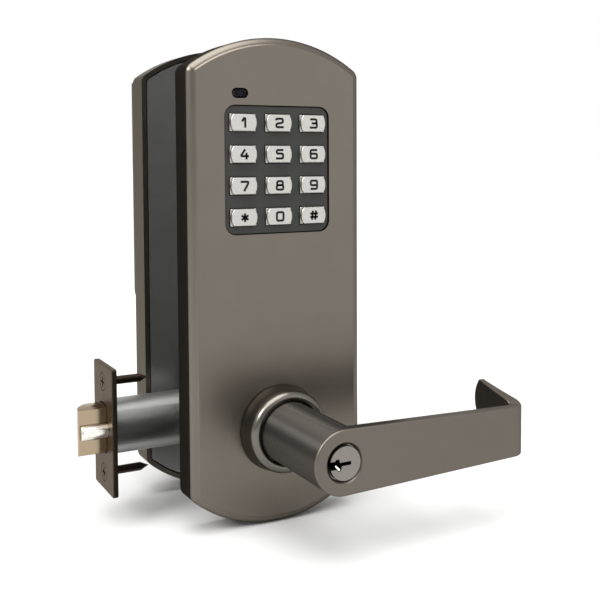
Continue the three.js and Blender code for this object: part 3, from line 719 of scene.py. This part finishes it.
piece("lever_outside", lever_form(True), bronze_lever, "outside_lever_group",
      ["outside_lever"])
piece("lever_inside", lever_form(False), bronze_lever, "drive_train", ["inside_lever"],
      mirrored)
piece("lever_neck_outside", neck_form(), bronze_neck_shaded, "outside_lever_group")
piece("lever_neck_inside", neck_form(), bronze_neck_shaded, "drive_train", place=mirrored)


# ---- lock cylinder --------------------------------------------------------------------------
def keyed_circle(r):
    """A round face with the keyway cut in from its left side, wide at first and then a narrow slot."""
    high, low = 1.5, -1.9
    return (arc(0, 0, r, -math.pi + math.asin(-low / r), math.pi - math.asin(high / r), 64)
            + [(-4.7, high), (-4.5, 2.2), (-2.9, 2.1), (-2.6, 0.7), (2.4, 0.75), (2.6, 0.0), (2.4, -0.75),
               (-1.7, -0.8), (-2.1, -2.6), (-3.4, -2.8), (-4.2, low)])


plug = Form()
plug_rings = plug.loft([facing_front(PLUG_FACE, keyed_circle(PLUG_R - 0.35)),
                        facing_front(PLUG_FACE + 0.1, keyed_circle(PLUG_R - 0.1)),
                        facing_front(PLUG_FACE + 0.35, keyed_circle(PLUG_R)),
                        facing_front(PLUG_STEP - 0.1, keyed_circle(PLUG_R)),
                        facing_front(PLUG_STEP - 0.1, keyed_circle(PLUG_BODY_R)),
                        facing_front(PLUG_REAR, keyed_circle(PLUG_BODY_R))])
plug.fill(plug_rings[0])
plug.fill(plug_rings[-1])
# The ward is drawn in bright nickel, lighter than the plug face around it: a painted glint in the keyway.
ward = Form()
plate(ward, lambda inset: [(-4.3, -0.1 - inset), (-2.7, -1.6), (-2.2, -2.4 + inset), (-3.1, -2.6 + inset),
                           (-4.7, -0.6)], PLUG_FACE + 0.4, PLUG_FACE + 4, 0.05)
piece("keyway_ward_glint", ward, nickel, "key_plug")
piece("key_plug_face", plug, plug_face, "key_plug", ["cylinder_plug"])


# ---- latch ----------------------------------------------------------------------------------
def latch_opening(grow):
    """The hole in the faceplate: the bolt's section with the plunger's half round beside it."""
    near, far = BOLT_NEAR - GAP - grow, BOLT_FAR + GAP + grow
    r = BOLT_R + GAP + grow
    ys = [near + (far - near) * i / 14 for i in range(15)]
    top = [(y, min(BOLT_HALF + GAP + grow, math.sqrt(r * r - y * y))) for y in ys]
    low = [(y, -z) for y, z in reversed(top)]
    bulge = arc(near, 0, PLUNGER_R + GAP + grow, -math.pi / 2, -3 * math.pi / 2, 18)
    return top + low + bulge


def faceplate_outline(inset):
    half_y, half_z = FACEPLATE_HALF
    return rounded(0, 0, half_y - inset, half_z - inset, max(1.0 - inset, 0.1), 4)


def screw_seat(z):
    return lambda grow: circle(0, z, SCREW_SEAT_R + grow, 40)


faceplate = Form()
plate(faceplate, faceplate_outline, -BACKSET, -BACKSET + FACEPLATE_THICK, 0.35,
      [(latch_opening, 0.25, None), (screw_seat(SCREW_Z), 0.35, -BACKSET + SEAT_DEPTH),
       (screw_seat(-SCREW_Z), 0.35, -BACKSET + SEAT_DEPTH)], facing_left)
piece("latch_faceplate_skin", faceplate, latch_finish, "trim", ["latch_faceplate"], in_door)


def cross_slot(y, z, reach=2.4, half=0.55):
    def outline(grow):
        h, r = half + grow, reach + grow
        return [(y + a, z + b) for a, b in ((h, h), (h, r), (-h, r), (-h, h), (-r, h), (-r, -h), (-h, -h),
                                            (-h, -r), (h, -r), (h, -h), (r, -h), (r, h))]
    return outline


for name, z in (("upper", SCREW_Z), ("lower", -SCREW_Z)):
    screw = Form()
    plate(screw, lambda inset, z=z: circle(0, z, SCREW_HEAD_R - inset, 40), -BACKSET, -BACKSET + 0.5, 0.25,
          [(cross_slot(0, z), 0.12, -BACKSET + 1.9)], facing_left)
    screw.spin([(SCREW_HEAD_R, 0.5), (SCREW_SHAFT_R, 2.0), (SCREW_SHAFT_R, 17.0), (0.0, 21.0)], -BACKSET, 0, z, 32)
    piece(f"latch_screw_{name}_head", screw, latch_finish, "trim", [f"latch_screw_{name}"],
          in_door)

# The spring between the bolt's tail and the case's end, drawn at one length; in the lock it shortens as the bolt
# goes in.
SPRING_NEAR = -55.4
SPRING_FAR = -27.6
SPRING_R = 3.0
SPRING_WIRE = 0.45
SPRING_TURNS = 5


def coil_form():
    form = Form()
    count = SPRING_TURNS * 28
    rings = []
    for i in range(count + 1):
        turn = TAU * SPRING_TURNS * i / count
        x = SPRING_NEAR + SPRING_WIRE + (SPRING_FAR - SPRING_NEAR - 2 * SPRING_WIRE) * i / count
        c, s = math.cos(turn), math.sin(turn)
        rings.append([(x + a, (SPRING_R + b) * c, (SPRING_R + b) * s)
                      for a, b in circle(0, 0, SPRING_WIRE, 10)])
    made = form.loft(rings)
    form.cap(made[0])
    form.cap(made[-1])
    return form


coil = piece("latch_coil", coil_form(), spring, "trim", ["latch_spring"], in_door)
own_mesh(coil)

plunger = Form()
flat = BOLT_NEAR - GAP
plunger_face = BOLT_TIP + 0.8
section = arc(flat, 0, PLUNGER_R, -math.pi / 2, -3 * math.pi / 2, 28)
rings = plunger.loft([facing_left(-50, section), facing_left(plunger_face + 0.7, section),
                      facing_left(plunger_face + 0.2, [(flat + (y - flat) * 0.93, z * 0.95) for y, z in section]),
                      facing_left(plunger_face, [(flat + (y - flat) * 0.8, z * 0.86) for y, z in section])])
plunger.cap(rings[0])
plunger.cap(rings[-1])
piece("deadlatch_bar", plunger, nickel, "deadlatch_body", ["deadlatch_plunger"], in_door)


# ---- inside trim ----------------------------------------------------------------------------
BOX_HALF = 38.0
BOX_LOW = 46.0
BOX_HIGH = 166.0
BOX_FACE = -31.0
OPENING = (31.0, 35.5, 119.5)
COVER = (34.0, 40.0, 5.0)
COVER_Z = 119.0
GRIP_LOW = 86.7
GRIP_PITCH = 3
HOUSING_SCREW_Z = -34


def box_outline(inset):
    half = BOX_HALF - inset
    r = 8 - inset
    top_z, top_r = TOP_ARC[0], TOP_ARC[1] - 3 - inset
    shoulder = math.acos(half / top_r)
    crown = [(x, min(z, BOX_HIGH - inset)) for x, z in arc(0, top_z, top_r, shoulder, math.pi - shoulder, 40)]
    return (crown + arc(r - half, BOX_LOW + inset + r, r, math.pi, 3 * math.pi / 2, 8)
            + arc(half - r, BOX_LOW + inset + r, r, -math.pi / 2, 0, 8))


def battery_opening(grow):
    half_x, half_z, z = OPENING
    return rounded(0, z, half_x + grow, half_z + grow, 1.0, 3)


housing = Form()
outer = housing.loft([facing_front(0, trim_outline(0))]
                     + [facing_front(TRIM_FACE + depth, trim_outline(inset))
                        for inset, depth in quarter(TRIM_EDGE, 8)])
inner = housing.loft([facing_front(y, trim_outline(TRIM_WALL)) for y in (0, TRIM_FACE + TRIM_WALL)])
housing.bridge(outer[0], inner[0])
bulge = housing.loft([facing_front(TRIM_FACE, box_outline(0))]
                     + [facing_front(BOX_FACE + depth, box_outline(inset))
                        for inset, depth in quarter(2.5, 7)])
bore = housing.ring(facing_front(TRIM_FACE, collar_bore(0)))
sunk = housing.loft([facing_front(y, circle(0, HOUSING_SCREW_Z, 3.9, 40)) for y in (TRIM_FACE, TRIM_FACE + 1.9)])
housing.fill(sunk[-1])
housing.fill(outer[-1], [bulge[0], bore, sunk[0]])
mouth = housing.loft([facing_front(y, battery_opening(0)) for y in (BOX_FACE, BOX_FACE + 2.4)])
housing.fill(bulge[-1], [mouth[0]])
piece("housing_inside", housing, bronze_upright, "trim", ["inside_housing"], inside)

cover = Form()
plate(cover, lambda inset: rounded(0, COVER_Z, COVER[0] - inset, COVER[1] - inset, COVER[2] - inset, 8),
      BOX_FACE - 2.3, BOX_FACE - GAP, 0.9)
for i in range(4):
    z = GRIP_LOW + GRIP_PITCH * i
    plate(cover, lambda inset, z=z: rounded(0, z, 9 - inset, 0.7 - inset, 0.65 - inset, 4), BOX_FACE - 2.85,
          BOX_FACE - 2.2, 0.5)
for side in (-1, 1):
    plate(cover, lambda inset, side=side: rounded(side * 29.5, 114, 1.1 - inset, 26 - inset, 0.4 - inset, 2),
          BOX_FACE - 0.5, BOX_FACE + 4.4, 0.1)
piece("battery_door", cover, bronze_upright, "battery_cover_body", ["battery_cover"], inside)

screw = Form()
plate(screw, lambda inset: circle(0, HOUSING_SCREW_Z, 3.5 - inset, 40), TRIM_FACE + 0.1, TRIM_FACE + 1.5, 0.4,
      [(cross_slot(0, HOUSING_SCREW_Z, 2.2, 0.4), 0.1, TRIM_FACE + 0.9)])
piece("housing_screw_head", screw, nickel, "trim", ["housing_screw"], inside)


# ---- CAD pieces that show as they are ---------------------------------------------------------
BOLT_ROUND = 0.35
CAD_ROUND = 0.12
FINISHES = {
    "zinc_steel": zinc, "spring_steel": spring, "satin_nickel": nickel, "bolt_brass": brass,
    "black_plastic": plastic, "black_rubber": rubber, "circuit_board": board, "red_lamp": red,
    "blue_lamp": blue, "cell_sleeve": cell_sleeve, "cable_sheath": sheath, "satin_bronze": bronze_upright,
    "smoked_lens": smoke, "key_metal": key_metal,
}
for part in frame["record"]["subparts"]:
    node = frame["nodes"][part["node"]]
    node.data.materials.clear()
    node.data.materials.append(FINISHES[part["material_slot"]])
    if not node.hide_render:
        soften_cad(node, BOLT_ROUND if part["node"] == "latch_bolt" else CAD_ROUND)


# ---- stage, light and camera ------------------------------------------------------------------
def stage_piece(name, form, material):
    mesh = bpy.data.meshes.new(name)
    mesh.from_pydata([Vector(p) * MM for p in form.points], [], form.faces)
    mesh.materials.append(material)
    obj = bpy.data.objects.new(name, mesh)
    bpy.context.scene.collection.objects.link(obj)
    return obj


pale = surface("pale_floor", (0.60, 0.60, 0.595), 0.0, 0.7, varied=0.01, rough_spread=0.05)
floor_z = cad_low.z / MM - 0.2
FLOOR = 30000
floor = Form()
floor.cap(floor.ring([(x, y, floor_z) for x, y in rounded(0, 0, FLOOR, FLOOR, 100)]))
stage_piece("floor", floor, pale)

# A dark card stands round the trim where the door would be, so the metal has something dark to reflect.
dark = surface("dark_card", (0.02, 0.02, 0.02), 0.0, 0.6, rough_spread=0.05)
backdrop = Form()
backdrop.fill(backdrop.ring([(-69, 0.5, -42), (79, 0.5, -42), (79, 0.5, 230), (-69, 0.5, 230)]),
              [backdrop.ring(facing_front(0.5, trim_outline(2.5)))])
card = stage_piece("card", backdrop, dark)
card.visible_camera = False
card.visible_diffuse = False
card.visible_shadow = False
card.visible_transmission = False


def softbox(name, place, aim, size, power):
    light = bpy.data.lights.new(name, "AREA")
    light.shape = "RECTANGLE"
    light.size, light.size_y = size[0] * MM, size[1] * MM
    light.energy = power
    lamp = bpy.data.objects.new(name, light)
    lamp.location = Vector(place) * MM
    lamp.rotation_euler = (Vector(aim) * MM - lamp.location).to_track_quat("-Z", "Y").to_euler()
    bpy.context.scene.collection.objects.link(lamp)


softbox("front_right", (580, -1100, 520), (0, 0, 90), (1300, 1000), 3.0)
softbox("left", (-860, -300, 700), (0, 0, 60), (420, 380), 8.5)

overhead = bpy.data.lights.new("overhead", "SUN")
overhead.energy = 3.4
overhead.angle = math.radians(56)
overhead_lamp = bpy.data.objects.new("overhead", overhead)
overhead_lamp.rotation_euler = Vector((0.15, 0.28, -0.95)).to_track_quat("-Z", "Y").to_euler()
bpy.context.scene.collection.objects.link(overhead_lamp)

# The studio is white behind the lock and dimmer on the side that its front faces.
world = bpy.data.worlds.new("studio")
world.use_nodes = True
sky, sky_links = world.node_tree.nodes, world.node_tree.links
direction = sky.new("ShaderNodeTexCoord")
towards = sky.new("ShaderNodeVectorMath")
towards.operation = "DOT_PRODUCT"
towards.inputs[1].default_value = (0.467, 0.884, 0.0)
sky_links.new(direction.outputs["Generated"], towards.inputs[0])
level = sky.new("ShaderNodeMapRange")
level.inputs["From Min"].default_value = -1.0
level.inputs["From Max"].default_value = 0.45
level.inputs["To Min"].default_value = 0.5
level.inputs["To Max"].default_value = 1.0
sky_links.new(towards.outputs["Value"], level.inputs["Value"])
sky_links.new(level.outputs["Result"], sky["Background"].inputs["Strength"])
sky["Background"].inputs["Color"].default_value = (1.0, 1.0, 1.0, 1)
world.cycles.sampling_method = "NONE"
bpy.context.scene.world = world
bpy.context.scene.view_settings.view_transform = "Standard"

PICTURE = 600.0
FOCAL = 931.55
CENTRE_ROW = 210.0
SENSOR = 36.0
CAMERA_AT = (-184.82, -386.28, 119.90)
YAW, PITCH, ROLL = 27.87, 3.07, 0.30
camera = bpy.data.objects.new("camera", bpy.data.cameras.new("camera"))
bpy.context.scene.collection.objects.link(camera)
camera.data.sensor_width = SENSOR
camera.data.lens = FOCAL / PICTURE * SENSOR
camera.data.shift_y = (CENTRE_ROW - PICTURE / 2) / PICTURE
camera.data.clip_start = 0.01
camera.location = Vector(CAMERA_AT) * MM
heading = Matrix.Rotation(math.radians(-YAW), 4, "Z") @ Matrix.Rotation(math.radians(90 - PITCH), 4, "X")
camera.rotation_euler = (heading @ Matrix.Rotation(math.radians(-ROLL), 4, "Z")).to_euler()
bpy.context.scene.camera = camera
